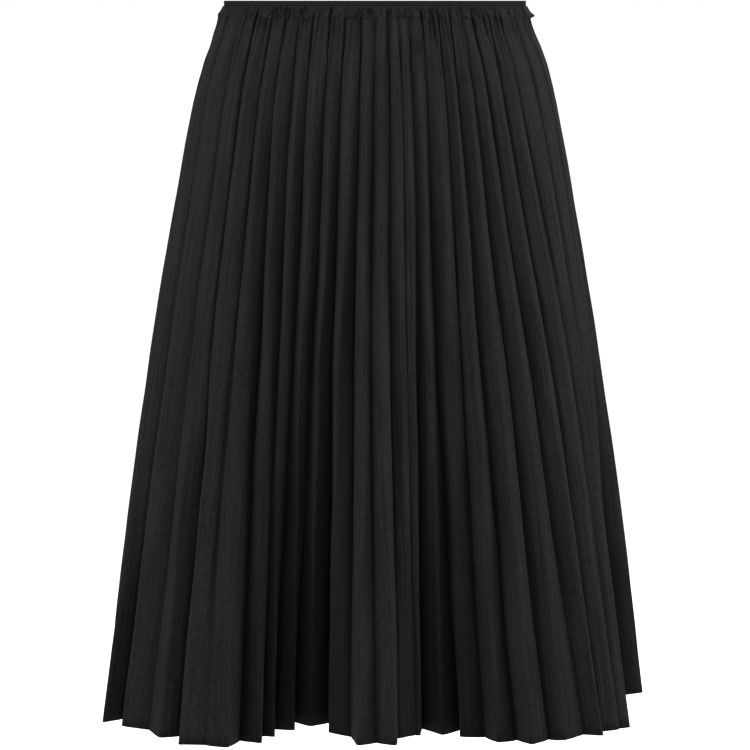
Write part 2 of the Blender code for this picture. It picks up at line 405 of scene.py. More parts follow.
class NodeGraph:
    """The nodes of a material or of the surround, built up by short calls."""

    def __init__(self, owner: bpy.types.Material | bpy.types.World, shader: str) -> None:
        """Take up an owner's nodes.

        Args:
            owner: the material or the surround.
            shader: the name of its shader node.
        """
        owner.use_nodes = True
        self.owner = owner
        self.tree = owner.node_tree
        self.shader = self.tree.nodes[shader]

    def add(self, kind: str, settings: dict[str, object] | None = None,
            **values: object) -> bpy.types.Node:
        """Add a node.

        Args:
            kind: the node's type name.
            settings: properties of the node itself.
            **values: what its inputs hold, as in fill.

        Returns:
            The new node.
        """
        node = self.tree.nodes.new(kind)
        for key, value in (settings or {}).items():
            setattr(node, key, value)
        self.fill(node, values)
        return node

    def fill(self, node: bpy.types.Node, values: dict[str, object]) -> None:
        """Set a node's inputs, or link other nodes' outputs to them.

        Args:
            node: the node.
            values: what each input holds, by its name with underscores for spaces, or by
                in0, in1 and so on for its number.
        """
        for key, value in values.items():
            number = key.removeprefix("in")
            socket = node.inputs[int(number) if number.isdigit() else key.replace("_", " ")]
            if isinstance(value, Socket):
                self.tree.links.new(value, socket)
            else:
                socket.default_value = value

    def dress(self, **values: object) -> bpy.types.Material | bpy.types.World:
        """Set the shader's inputs, as in fill, and hand back the finished owner."""
        self.fill(self.shader, values)
        return self.owner

    def math(self, operation: str, a: object, b: object) -> Socket:
        """The output of a Math node."""
        return self.add("ShaderNodeMath", {"operation": operation}, in0=a, in1=b).outputs[0]

    def scaled_uv(self, across: float, down: float) -> Socket:
        """The piece's own UV coordinates, which are metres of cloth, scaled both ways."""
        uv = self.add("ShaderNodeUVMap", {"uv_map": UV_LAYER}).outputs["UV"]
        return self.add("ShaderNodeMapping", Vector=uv, Scale=(across, down, 1.0)).outputs[0]

    def bands(self, way: str, across: float, down: float, **values: object) -> Socket:
        """Bands from 0 to 1, by the metre each way, that follow each other along X or Y."""
        return self.add("ShaderNodeTexWave", {"bands_direction": way}, Scale=1.0,
                        Vector=self.scaled_uv(across * BAND_PITCH, down * BAND_PITCH),
                        **values).outputs["Fac"]

    def clouds(self, clouds: Clouds) -> Socket:
        """Noise from 0 to 1."""
        return self.add("ShaderNodeTexNoise", Scale=1.0, Detail=clouds.detail,
                        Roughness=clouds.roughness,
                        Vector=self.scaled_uv(clouds.across, clouds.down)).outputs["Fac"]

    def swing(self, height: Socket, reach: float) -> Socket:
        """A height from 0 to 1, turned to swing about 0, by a reach in all."""
        return self.math("SUBTRACT", self.math("MULTIPLY", height, reach), reach / 2)

    def bump(self, height: Socket, depth: float, **under: Socket) -> Socket:
        """A bump of a depth in metres, over another bump where one is given as Normal."""
        return self.add("ShaderNodeBump", Strength=1.0, Distance=depth, Height=height,
                        **under).outputs["Normal"]

    def blend(self, share: Socket, start: Colour | Socket, end: Colour) -> Socket:
        """The colour a share of the way from start to end."""
        return self.add("ShaderNodeMix", {"data_type": "RGBA"}, in0=share, in6=start,
                        in7=end).outputs[2]


@dataclass(frozen=True)
class ClothFinish:
    """Near-black matte cloth, finely crinkled along its pleats, over a close weave.

    The piece's own depth attribute is painted shade, 0 on its outer folds and 1 deep inside them,
    where it blends the colour to full black; so the outer folds show the paler tone.
    """

    name: str
    # the colour of full painted shade, deep in the folds
    black: Colour = (0.0014, 0.0014, 0.0014, 1.0)
    dark: Colour = (0.0064, 0.0064, 0.0064, 1.0)
    light: Colour = (0.0155, 0.0156, 0.0155, 1.0)
    roughness: float = 0.9
    specular: float = 0.08
    sheen: float = 0.02
    sheen_roughness: float = 0.5
    sheen_tint: Colour = (0.55, 0.55, 0.55, 1.0)
    threads_per_metre: float = 2200.0
    weave_height: float = 0.00004
    crinkle: Clouds = Clouds(420.0, 9.0, 3.0)
    crinkle_height: float = 0.0005
    slub: Clouds = Clouds(1500.0, 60.0, 2.0)
    slub_height: float = 0.00012
    rubs: Clouds = Clouds(45.0, 14.0, 4.0)
    mottle: Clouds = Clouds(300.0, 210.0, 5.0)
    # how far the tone follows the crinkle: painted shade of the fine crinkles
    crinkle_shade: float = 2.1
    mottling: float = 2.3

    def make(self) -> bpy.types.Material:
        """Build the finish's material.

        Returns:
            The material.
        """
        graph = NodeGraph(bpy.data.materials.new(self.name), "Principled BSDF")
        crinkle = graph.clouds(self.crinkle)
        threads = self.threads_per_metre
        weave = graph.math("MAXIMUM", graph.bands("X", threads, threads),
                           graph.bands("Y", threads, threads))
        bump = graph.bump(weave, self.weave_height)
        bump = graph.bump(graph.clouds(self.slub), self.slub_height, Normal=bump)
        bump = graph.bump(crinkle, self.crinkle_height, Normal=bump)
        # Painted shade: the tone is lighter on the crinkles' crests and darker in their dips,
        # with random mottling over it.
        uneven = graph.math("ADD", graph.swing(crinkle, self.crinkle_shade),
                            graph.swing(graph.clouds(self.mottle), self.mottling))
        rubbed = graph.math("ADD", uneven, graph.clouds(self.rubs))
        tone = graph.blend(rubbed, self.dark, self.light)
        # The depth attribute is painted shade: it blends the tone to black in the folds.
        depth = graph.add("ShaderNodeAttribute", {"attribute_name": PAINTED_SHADE_LAYER})
        return graph.dress(
            Base_Color=graph.blend(depth.outputs["Fac"], tone, self.black), Normal=bump,
            Roughness=self.roughness, Specular_IOR_Level=self.specular,
            Sheen_Weight=self.sheen, Sheen_Roughness=self.sheen_roughness,
            Sheen_Tint=self.sheen_tint)


@dataclass(frozen=True)
class ElasticFinish:
    """Smooth near-black elastic tape: fine upright loops, and painted shade that darkens the
    grooves between its ribs.

    The ribs' pitch is in metres, and the first rib is that share of a pitch down the tape.
    """

    rib_pitch: float
    first_rib: float
    name: str = "elastic tape"
    # painted shade in the grooves
    groove_shade: Colour = (0.0006, 0.0006, 0.0010, 1.0)
    rib: Colour = (0.0290, 0.0295, 0.0365, 1.0)
    roughness: float = 0.8
    specular: float = 0.02
    loops_across: float = 1100.0
    loops_down: float = 120.0
    loop_height: float = 0.00008
    loop_waver: float = 1.5

    def make(self) -> bpy.types.Material:
        """Build the finish's material.

        Returns:
            The material.
        """
        graph = NodeGraph(bpy.data.materials.new(self.name), "Principled BSDF")
        loops = graph.bands("X", self.loops_across, self.loops_down,
                            Distortion=self.loop_waver, Detail=1.0)
        # The colour follows the ribs and is near black in the grooves between them: painted
        # shade.
        ribs = graph.bands("Y", 1.0, 1 / self.rib_pitch,
                           Phase_Offset=(1 + 2 * self.first_rib) * math.pi)
        tone = graph.blend(graph.math("MULTIPLY", ribs, ribs), self.groove_shade, self.rib)
        return graph.dress(Base_Color=tone, Normal=graph.bump(loops, self.loop_height),
                           Roughness=self.roughness, Specular_IOR_Level=self.specular)


@dataclass(frozen=True)
class Placed:
    """Where a point of a sheet goes, in metres, and the painted shade it gets in the folds."""

    point: tuple[float, float, float]
    uv: Point
    # painted shade, from 0 to 1
    depth: float


def cloth_grid(columns: int, rows: int, place: Callable[[int, int], Placed]) -> bmesh.types.BMesh:
    """Make a sheet of cloth: a grid whose points are moved to their places.

    Args:
        columns: how many cells the sheet has across.
        rows: how many cells it has down.
        place: gives a point's place from its column and its row; row 0 is the lowest, and
            columns run to the right as the outer side is seen.

    Returns:
        The sheet, its faces to the outer side.
    """
    sheet = bmesh.new()
    uv = sheet.loops.layers.uv.new(UV_LAYER)
    # The layer of painted shade, which each point's depth fills.
    deep = sheet.verts.layers.float.new(PAINTED_SHADE_LAYER)
    bmesh.ops.create_grid(sheet, x_segments=columns, y_segments=rows, size=1.0, calc_uvs=True)
    shade_spots = {}
    for vert in sheet.verts:
        shade_spots[vert] = place(round((vert.co.x + 1) / 2 * columns),
                            round((vert.co.y + 1) / 2 * rows))
    for vert, spot in shade_spots.items():
        vert.co = spot.point
        vert[deep] = spot.depth
    for face in sheet.faces:
        for loop in face.loops:
            loop[uv].uv = shade_spots[loop.vert].uv
    return sheet


def add_object(name: str, data: bpy.types.ID) -> bpy.types.Object:
    """Put a new object in the scene.

    Args:
        name: the object's name.
        data: its mesh, light or camera.

    Returns:
        The object.
    """
    added = bpy.data.objects.new(name, data)
    bpy.context.scene.collection.objects.link(added)
    return added


def add_mesh(name: str, mesh: bmesh.types.BMesh,
             material: bpy.types.Material) -> bpy.types.Object:
    """Put a finished mesh in the scene.

    Args:
        name: the object's name.
        mesh: its shape, which is used up.
        material: its finish.

    Returns:
        The new object.
    """
    data = bpy.data.meshes.new(name)
    mesh.to_mesh(data)
    mesh.free()
    data.materials.append(material)
    return add_object(name, data)


def finish_piece(name: str, mesh: bmesh.types.BMesh, material: bpy.types.Material,
                 node: str | None = None) -> bpy.types.Object:
    """Put a piece of the skirt in the scene, riding on the skirt.

    Args:
        name: the piece's name.
        mesh: its shape, which is used up.
        material: its finish.
        node: the solid that it stands for, if any.

    Returns:
        The new piece.
    """
    piece = add_mesh(name, mesh, material)
    piece.data.shade_smooth()
    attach(piece, ROOT_BODY)
    if node is not None:
        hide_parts(node)
    LOG.info("%s: %d faces", name, len(piece.data.polygons))
    return piece


def thicken(piece: bpy.types.Object, thickness: float) -> None:
    """Give a sheet its thickness, half to each side."""
    wall = piece.modifiers.new("thickness", "SOLIDIFY")
    wall.thickness, wall.offset = thickness, 0.0


@dataclass(frozen=True)
class SheetPoint:
    """A point of a panel's line, the face of a pleat it is on and how far across that."""

    x: float
    y: float
    face: int
    share: float

    def pushed(self, way: Point, reach: float) -> "SheetPoint":
        """The point moved a distance along a direction."""
        size = math.hypot(*way)
        return SheetPoint(self.x + way[0] / size * reach, self.y + way[1] / size * reach,
                          self.face, self.share)


@dataclass(frozen=True)
class Gathers:
    """The uneven little gathers that run down from the waist, each of its own length."""

    pitch: float = 7.6
    slip: Ripple = Ripple(0.8, 21.0, start=0.5)
    height: float = 2.5
    shortest: float = 12.0
    longest: float = 52.0
    fade_power: float = 1.6
    strength: float = 0.75
    strengths: Ripple = Ripple(1.1, 1 / 0.73, start=1.5)
    lengths: Ripple = Ripple(0.9, 1 / 0.61, start=2.5)
    set_back: float = 0.45
    trough_lengths: Ripple = Ripple(0.9, 1 / 0.87, start=3.5)
    trough_width: float = 0.3
    trough_power: float = 1.5

    def phase(self, around: float, seed: float) -> float:
        """Which gather a place is in, whole at the troughs between gathers."""
        return around / self.pitch + self.slip.at(around, seed=seed)

    def own_fade(self, depth: float, swing: float) -> float:
        """How much is left at a depth of a gather whose length swings from the middle one."""
        reach = between(self.shortest, self.longest, 0.5 + swing)
        return fading(depth, max(reach, self.shortest), self.fade_power)

    def lift(self, around: float, depth: float, seed: float) -> float:
        """Find how far the gathers push the cloth out.

        Args:
            around: how far round the waist, in millimetres.
            depth: how far below the waist seam, in millimetres.
            seed: sets one panel's gathers apart from the other's.

        Returns:
            The push in millimetres, less than 0 in the troughs between gathers.
        """
        phase = self.phase(around, seed)
        number = math.floor(phase)
        strength = self.strength + self.strengths.at(number, seed=seed)
        strength *= self.own_fade(depth, self.lengths.at(number, seed=seed))
        fade = fading(depth, (self.shortest + self.longest) / 2, self.fade_power)
        swell = math.sin(math.pi * (phase - number))
        return self.height * (strength * swell - self.set_back * fade)

    def trough(self, around: float, depth: float, seed: float) -> float:
        """Find how deep in a trough between gathers a point lies.

        Args:
            around: how far round the waist, in millimetres.
            depth: how far below the waist seam, in millimetres.
            seed: as in lift.

        Returns:
            The depth, from 0 to 1.
        """
        phase = self.phase(around, seed)
        number = round(phase)
        near = max(0.0, 1 - abs(phase - number) / self.trough_width)
        fade = self.own_fade(depth, self.trough_lengths.at(number, seed=seed))
        return fade * near ** self.trough_power


@dataclass(frozen=True)
class Shading:
    """How much painted shade the cloth's points get, which its finish darkens them by: in the
    folds, the troughs between gathers, the recesses between flutes, blotches and a band below the
    waist, and a patch over one hip.
    """

    most: float = 1.8
    power: float = 4.2
    widening: float = 1.9
    at_top: float = 0.25
    full_drop: float = 320.0
    breaks: Ripple = Ripple(1.3, 1 / 0.83, 11.0, 17.0)
    breaks_length: float = 45.0
    # blotches of painted shade below the waist
    shade_spots: Ripple = Ripple(0.9, 6.0, 15.0, 13.0)
    least_spot: float = 0.09
    spots_length: float = 60.0
    # painted shadow in a band just under the waist seam, below the frill
    waist: float = 0.12
    waist_length: float = 7.0
    # a patch of painted shade over one hip, which the shape does not hollow
    hip: float = 0.15
    hip_drop: float = 75.0
    hip_height: float = 45.0
    hip_face: float = 32.0
    hip_faces: float = 6.0
    # How much of the painted shade of folds, gather troughs and flute recesses goes into a point.
    fold_shade: float = 0.88
    trough_shade: float = 0.62
    recess_shade: float = 0.75

    def fold(self, shade: float, near: float) -> float:
        """How much painted shade a fold gives a point, whose nearness to the valley goes from 0
        to 1.
        """
        shade = clamped(shade, self.most)
        return shade * near ** (self.power - self.widening * shade)

    def strength(self, valley: int, drop: float, below: float, seed: float) -> float:
        """How strong a valley's painted shade is: weaker and broken by the waist seam above."""
        swing = self.breaks.at(valley, drop, seed) * fading(below, self.breaks_length, 1.0)
        return clamped(self.at_top + drop / self.full_drop) * (1 + swing)

    def patches(self, around: float, face: int, drop: float, below: float,
                seed: float) -> float:
        """Find the painted shade of the blotches below the waist, of the band under the waist
        seam and of the patch over the hip.

        Args:
            around: how far round the waist, in millimetres.
            face: the face of a pleat.
            drop: the point's drop.
            below: how far it is below the waist seam, in millimetres.
            seed: sets one panel's patches apart from the other's.

        Returns:
            What they add to the painted shade.
        """
        shade_spots = max(0.0, self.shade_spots.at(around, drop, seed) - self.least_spot)
        hip = fading(drop - self.hip_drop, self.hip_height)
        hip *= fading(face - self.hip_face, self.hip_faces)
        return (shade_spots * fading(below, self.spots_length, 1.0)
                + self.waist * fading(below, self.waist_length) + self.hip * hip)


@dataclass
class PleatedPanel:
    """One panel of sunray pleats: a thin sheet through the hanging form's folds."""

    panel: Panel
    form: HangingForm
    seed: float
    flat: tuple[float, float]
    flat_area: float
    gathers: Gathers = Gathers()
    shading: Shading = Shading()
    top: float = 12.5
    seam: float = 14.5
    tuck: float = 0.6
    tuck_height: float = 4.0
    rows: int = 80
    row_crowding: float = 1.35
    thickness: float = 0.0006
    ridge_round: float = 3.6
    valley_round: float = 0.9
    cut_round: float = 0.2
    most_round: float = 0.36
    round_shares: tuple[float, ...] = (0.5, 0.8)
    face_shares: tuple[float, ...] = (0.0, 0.14, 0.28, 0.42, 0.57, 0.71, 0.86, 1.0)
    ridge_stand: float = 1.7
    stand_length: float = 60.0
    flattest: float = 0.85
    shallow: float = 0.55
    shallow_length: float = 38.0
    right_tuck: float = 2.0
    right_tuck_drop: float = 25.0
    right_tuck_height: float = 17.0
    right_tuck_power: int = 8
    wander: Ripple = Ripple(1.1, 1 / 1.7, 95.0)
    sideways: Ripple = Ripple(1.1, 1 / 2.3, 95.0, 5.0)
    wander_at_top: float = 0.25
    arch: float = 2.3
    hem_arch: float = 0.5
    arch_power: float = 1.2
    arch_lean: float = 0.72
    arched_width: float = 13.0
    bow: Ripple = Ripple(0.9, 1 / 3.1, 140.0, 9.0)
    face_at_top: float = 6.9
    crumple: Ripple = Ripple(0.75, 3.2, 55.0, 4.0)
    pucker: Ripple = Ripple(1.4, 4.6, 12.0, 7.0)
    pucker_length: float = 42.0
    hem_lift: Ripple = Ripple(0.5, 12.0)
    # Painted shade and depth of the back's valleys, which swing at random about this.
    back_shade: float = 0.75
    back_shades: Ripple = Ripple(0.7, 1 / 0.77, 260.0)
    recess_window: int = 40
    recess_full: float = 70.0
    lines: list[list[SheetPoint]] = field(default_factory=list)
    recesses: list[list[float]] = field(default_factory=list)
    across: list[float] = field(default_factory=list)

    def drop(self, row: int) -> float:
        """The drop of a grid row; rows count from the hem up and are closer near the top."""
        share = ((self.rows - row) / self.rows) ** self.row_crowding
        return between(self.top, self.form.length, share)

    def is_valley(self, corner: int) -> bool:
        """Whether a corner of the panel's line is a valley."""
        return (corner % 2 == 1) == (self.panel is Panel.FRONT)

    def from_valley(self, face: int, share: float) -> float:
        """How far a point is from its face's valley, 1 being at the ridge."""
        return share if self.is_valley(face) else 1 - share

    def around(self, point: SheetPoint) -> float:
        """How far round the waist a point is, by its pleat, in millimetres."""
        return (point.face + point.share) * self.face_at_top

    def shade(self, corner: int, drop: float) -> float:
        """Find how deep a valley is and how much painted shade it gets.

        Args:
            corner: the valley's corner of the panel's line.
            drop: the height's drop.

        Returns:
            The shade, as in Fold.
        """
        if self.panel is Panel.BACK:
            return self.back_shade + self.back_shades.at(corner, drop, self.seed)
        upper, middle, lower = FRONT_FOLDS[min(corner // 2, len(FRONT_FOLDS) - 1)].shades
        first, second, third = SHADE_DROPS
        if drop < second:
            return between(upper, middle, clamped((drop - first) / (second - first)))
        return between(middle, lower, clamped((drop - second) / (third - second)))

    def hand_hung(self, corners: Line, drop: float) -> Line:
        """Move corners a little off their ruled places, and make shallow folds shallower.

        Args:
            corners: the panel's valleys and ridges, between its two cut edges.
            drop: the height's drop.

        Returns:
            The moved corners.
        """
        loose = clamped(drop / self.form.mid_drop + self.wander_at_top)
        shallow = self.shallow * fading(drop - self.seam, self.shallow_length)
        stand = self.ridge_stand * clamped((drop - self.top) / self.stand_length)
        tuck = self.right_tuck * fading(drop - self.right_tuck_drop, self.right_tuck_height)
        moved = [corners[0]]
        for k, (x, y) in enumerate(corners[1:-1], 1):
            away = loose * self.wander.at(k, drop, self.seed)
            aside = loose * self.sideways.at(k, drop, self.seed)
            if self.is_valley(k):
                middle = between_points(corners[k - 1], corners[k + 1], 0.5)
                filled = max(shallow, self.flattest * (1 - self.shade(k, drop)))
                x, y = between_points((x, y), middle, filled)
            else:
                away += stand
            size = math.hypot(x, y)
            away -= tuck * max(0.0, x / size) ** self.right_tuck_power
            moved.append((x + x / size * away - y / size * aside,
                          y + y / size * away + x / size * aside))
        return moved + [corners[-1]]

    def section_line(self, drop: float) -> list[SheetPoint]:
        """Draw the panel's full line at one height, with its creases, arches and fine folds.

        Args:
            drop: the height's drop.

        Returns:
            The line's points, the same number at every height.
        """
        corners = self.hand_hung(self.form.corners(self.panel, drop), drop)
        rounds = [self.cut_round]
        for k, point in enumerate(corners[1:], 1):
            reach = self.valley_round if self.is_valley(k) else self.ridge_round
            for other in corners[k - 1:k + 2:2]:
                reach = min(reach, self.most_round * math.dist(point, other))
            rounds.append(reach)
        line = []
        for k in range(len(corners) - 1):
            line.extend(self.face_points(corners, rounds, k, drop))
        line.append(SheetPoint(*corners[-1], len(corners) - 2, 1.0))
        return self.wrinkled(line, drop)

    def face_points(self, corners: Line, rounds: list[float], k: int,
                    drop: float) -> list[SheetPoint]:
        """Draw one face, from the middle of its first crease to just before the next's.

        Args:
            corners: the panel's valleys and ridges.
            rounds: how far each corner's rounding reaches.
            k: the face's first corner.
            drop: the height's drop.

        Returns:
            The face's points.
        """
        here, there = corners[k], corners[k + 1]
        length = math.dist(here, there)
        start, end = towards(here, there, rounds[k]), towards(there, here, rounds[k + 1])
        before = here if k == 0 else towards(here, corners[k - 1], rounds[k])
        last = k == len(corners) - 2
        after = there if last else towards(there, corners[k + 2], rounds[k + 1])
        points = [SheetPoint(*self.crease(before, here, start, share), k, 0.0)
                  for share in self.round_shares]
        out = (there[1] - here[1], here[0] - there[0])
        for share in self.face_shares:
            point = SheetPoint(*between_points(start, end, share), k, share)
            points.append(point.pushed(out, self.arch_lift(k, share, length, drop)))
        points.append(SheetPoint(*self.crease(end, there, after, 1 - self.round_shares[-1]),
                                 k, 1.0))
        return points

    @staticmethod
    def crease(before: Point, middle: Point, after: Point, share: float) -> Point:
        """A point of a rounded crease, a share of the way from before to after."""
        rest = 1 - share
        return tuple(rest * rest * a + 2 * rest * share * m + share * share * b
                     for a, m, b in zip(before, middle, after))

    def arch_lift(self, k: int, share: float, length: float, drop: float) -> float:
        """Find how far a face stands out, as its pleat arches.

        Args:
            k: the face.
            share: how far across it.
            length: how wide it is, in millimetres.
            drop: the height's drop.

        Returns:
            The lift in millimetres.
        """
        swell = math.sin(math.pi * self.from_valley(k, share) ** self.arch_lean)
        arch = between(self.arch, self.hem_arch,
                       clamped(drop / self.form.length) ** self.arch_power)
        bow = self.bow.at(k, drop, self.seed)
        return swell * (arch + bow) * clamped(length / self.arched_width)

    def wrinkled(self, line: list[SheetPoint], drop: float) -> list[SheetPoint]:
        """Push a line's gathers and fine folds in and out of it.

        Args:
            line: the line.
            drop: the height's drop.

        Returns:
            The wrinkled line.
        """
        depth = max(0.0, drop - self.seam)
        tucked = self.tuck * max(0.0, 1 - (drop - self.top) / self.tuck_height)
        moved = [line[0]]
        for before, point, after in zip(line, line[1:], line[2:]):
            around = self.around(point)
            lift = self.gathers.lift(around, depth, self.seed)
            lift += self.crumple.at(around, drop, self.seed) - tucked
            lift += (self.pucker.at(around, drop, self.seed)
                     * fading(depth, self.pucker_length, 1.0))
            moved.append(point.pushed((after.y - before.y, before.x - after.x), lift))
        return moved + [line[-1]]

    def recess_line(self, line: list[SheetPoint]) -> list[float]:
        """Find how far each point of a line lies back from the flutes around it.

        Args:
            line: the line.

        Returns:
            A number from 0 to 1 for each point.
        """
        radii = [math.hypot(point.x, point.y) for point in line]
        window = self.recess_window
        return [min(1.0, (max(radii[max(0, k - window):k + window + 1]) - radius)
                    / self.recess_full) for k, radius in enumerate(radii)]

    def place(self, column: int, row: int) -> Placed:
        """Place a point of the sheet.

        Args:
            column: its column, from the line's start.
            row: its row, from the hem up.

        Returns:
            Its place, its UV and its painted shade.
        """
        drop, point, shading = self.drop(row), self.lines[row][column], self.shading
        below = max(0.0, drop - self.seam)
        valley = point.face if self.is_valley(point.face) else point.face + 1
        fold = shading.fold(self.shade(valley, drop),
                            1 - self.from_valley(point.face, point.share))
        fold *= shading.strength(valley, drop, below, self.seed)
        around = self.around(point)
        trough = self.gathers.trough(around, below, self.seed)
        # The depth is painted shade: the stronger of the folds' and the gather troughs' shade,
        # with the patches and the recesses between flutes added.
        depth = (max(shading.fold_shade * fold, shading.trough_shade * trough)
                 + shading.patches(around, point.face, drop, below, self.seed)
                 + shading.recess_shade * self.recesses[row][column])
        lift = self.hem_lift.at(column, seed=self.seed) if row == 0 else 0.0
        return Placed((point.x * MM, point.y * MM, (lift - drop) * MM),
                      (self.across[column], (self.form.length - drop) * MM), min(1.0, depth))

    def build(self, material: bpy.types.Material) -> None:
        """Build the panel's sheet.

        Args:
            material: its finish.
        """
        self.lines = [self.section_line(self.drop(row)) for row in range(self.rows + 1)]
        self.recesses = [self.recess_line(line) for line in self.lines]
        runs = run_lengths([(point.x, point.y) for point in self.lines[self.rows // 2]])
        self.across = [self.flat[0] * run / runs[-1] for run in runs]
        sheet = cloth_grid(len(self.across) - 1, self.rows, self.place)
        piece = finish_piece(f"{self.panel.value}_cloth", sheet, material,
                             self.panel.value)
        thicken(piece, self.thickness)


@dataclass
class ElasticBand:
    """The narrow elastic: a turned tape with fine ribs along it, drawn out to an oval."""

    node: str = "waist_elastic"
    half_width: float = 127.0
    half_depth: float = 95.0
    height: float = 20.0
    wall: float = 1.2
    edge: float = 0.2
    rib_pitch: float = 1.64
    first_rib: float = 0.835
    rib_depth: float = 0.4
    points_per_rib: int = 6
    steps: int = 240
    uv_radius: float = 0.112
    flat: tuple[float, float] = (0.62, 0.02)

    def build(self) -> None:
        """Turn the tape's section round the waist and flatten the ring to the oval."""
        tape = bmesh.new()
        verts = [tape.verts.new((x * MM, 0.0, z * MM)) for x, z in self.profile()]
        edges = [tape.edges.new(ends) for ends in pairwise(verts + verts[:1])]
        bmesh.ops.spin(tape, geom=verts + edges, cent=(0, 0, 0), axis=(0, 0, 1),
                       angle=math.tau, steps=self.steps, use_merge=True, use_duplicate=False)
        bmesh.ops.remove_doubles(tape, verts=tape.verts[:], dist=MERGE_REACH)
        bmesh.ops.scale(tape, vec=(1.0, self.half_depth / self.half_width, 1.0),
                        verts=tape.verts[:])
        bmesh.ops.recalc_face_normals(tape, faces=tape.faces[:])
        self.lay_uvs(tape)
        material = ElasticFinish(self.rib_pitch * MM, self.first_rib).make()
        piece = finish_piece("elastic_tape", tape, material, self.node)

    def profile(self) -> Line:
        """Draw the tape's section: ribs down its outer face, then up its plain inner face.

        Returns:
            The section's points, out from the middle and up.
        """
        count = round(self.height / self.rib_pitch * self.points_per_rib)
        outer = []
        for k in range(count + 1):
            depth = self.height * k / count
            turn = math.tau * (depth / self.rib_pitch - self.first_rib)
            crest = 0.5 + 0.5 * math.cos(turn)
            outer.append((self.half_width - self.rib_depth * (1 - crest) ** 2, -depth))
        outer[0] = (self.half_width - self.edge, 0.0)
        outer[-1] = (self.half_width - self.edge, -self.height)
        inner_x = self.half_width - self.wall
        inner = [(inner_x, z) for z in (self.edge - self.height, -self.height / 2, -self.edge)]
        return outer + inner

    def lay_uvs(self, tape: bmesh.types.BMesh) -> None:
        """Lay the tape's UVs in metres, round the waist and down it.

        Args:
            tape: the tape.
        """
        layer = tape.loops.layers.uv.new(UV_LAYER)
        for face in tape.faces:
            middle = face.calc_center_median()
            base = math.atan2(middle.y, middle.x)
            for loop in face.loops:
                turn = math.atan2(loop.vert.co.y, loop.vert.co.x)
                turn += math.tau * round((base - turn) / math.tau)
                loop[layer].uv = (turn * self.uv_radius, loop.vert.co.z)


@dataclass(frozen=True)
class Tuft:
    """A tuft where the frill stands out at one side: its reach and where down it is widest."""

    side: float
    reach: float
    widest: float
    narrowness: int = 60
    rise_power: float = 1.2
    tearing: float = 0.7

    def out(self, way_x: float, share: float, torn: float) -> float:
        """Find how far the frill stands out in the tuft.

        Args:
            way_x: how far the place's outward direction points to +X, from -1 to 1.
            share: how far down the frill it is.
            torn: the chance swell of the ragged edge there.

        Returns:
            How far out, in millimetres.
        """
        near = max(0.0, way_x * self.side) ** self.narrowness
        if share < self.widest:
            rise = (share / self.widest) ** self.rise_power
        else:
            rise = (1 - share) / (1 - self.widest)
        return self.reach * near * rise * (1 + self.tearing * torn)


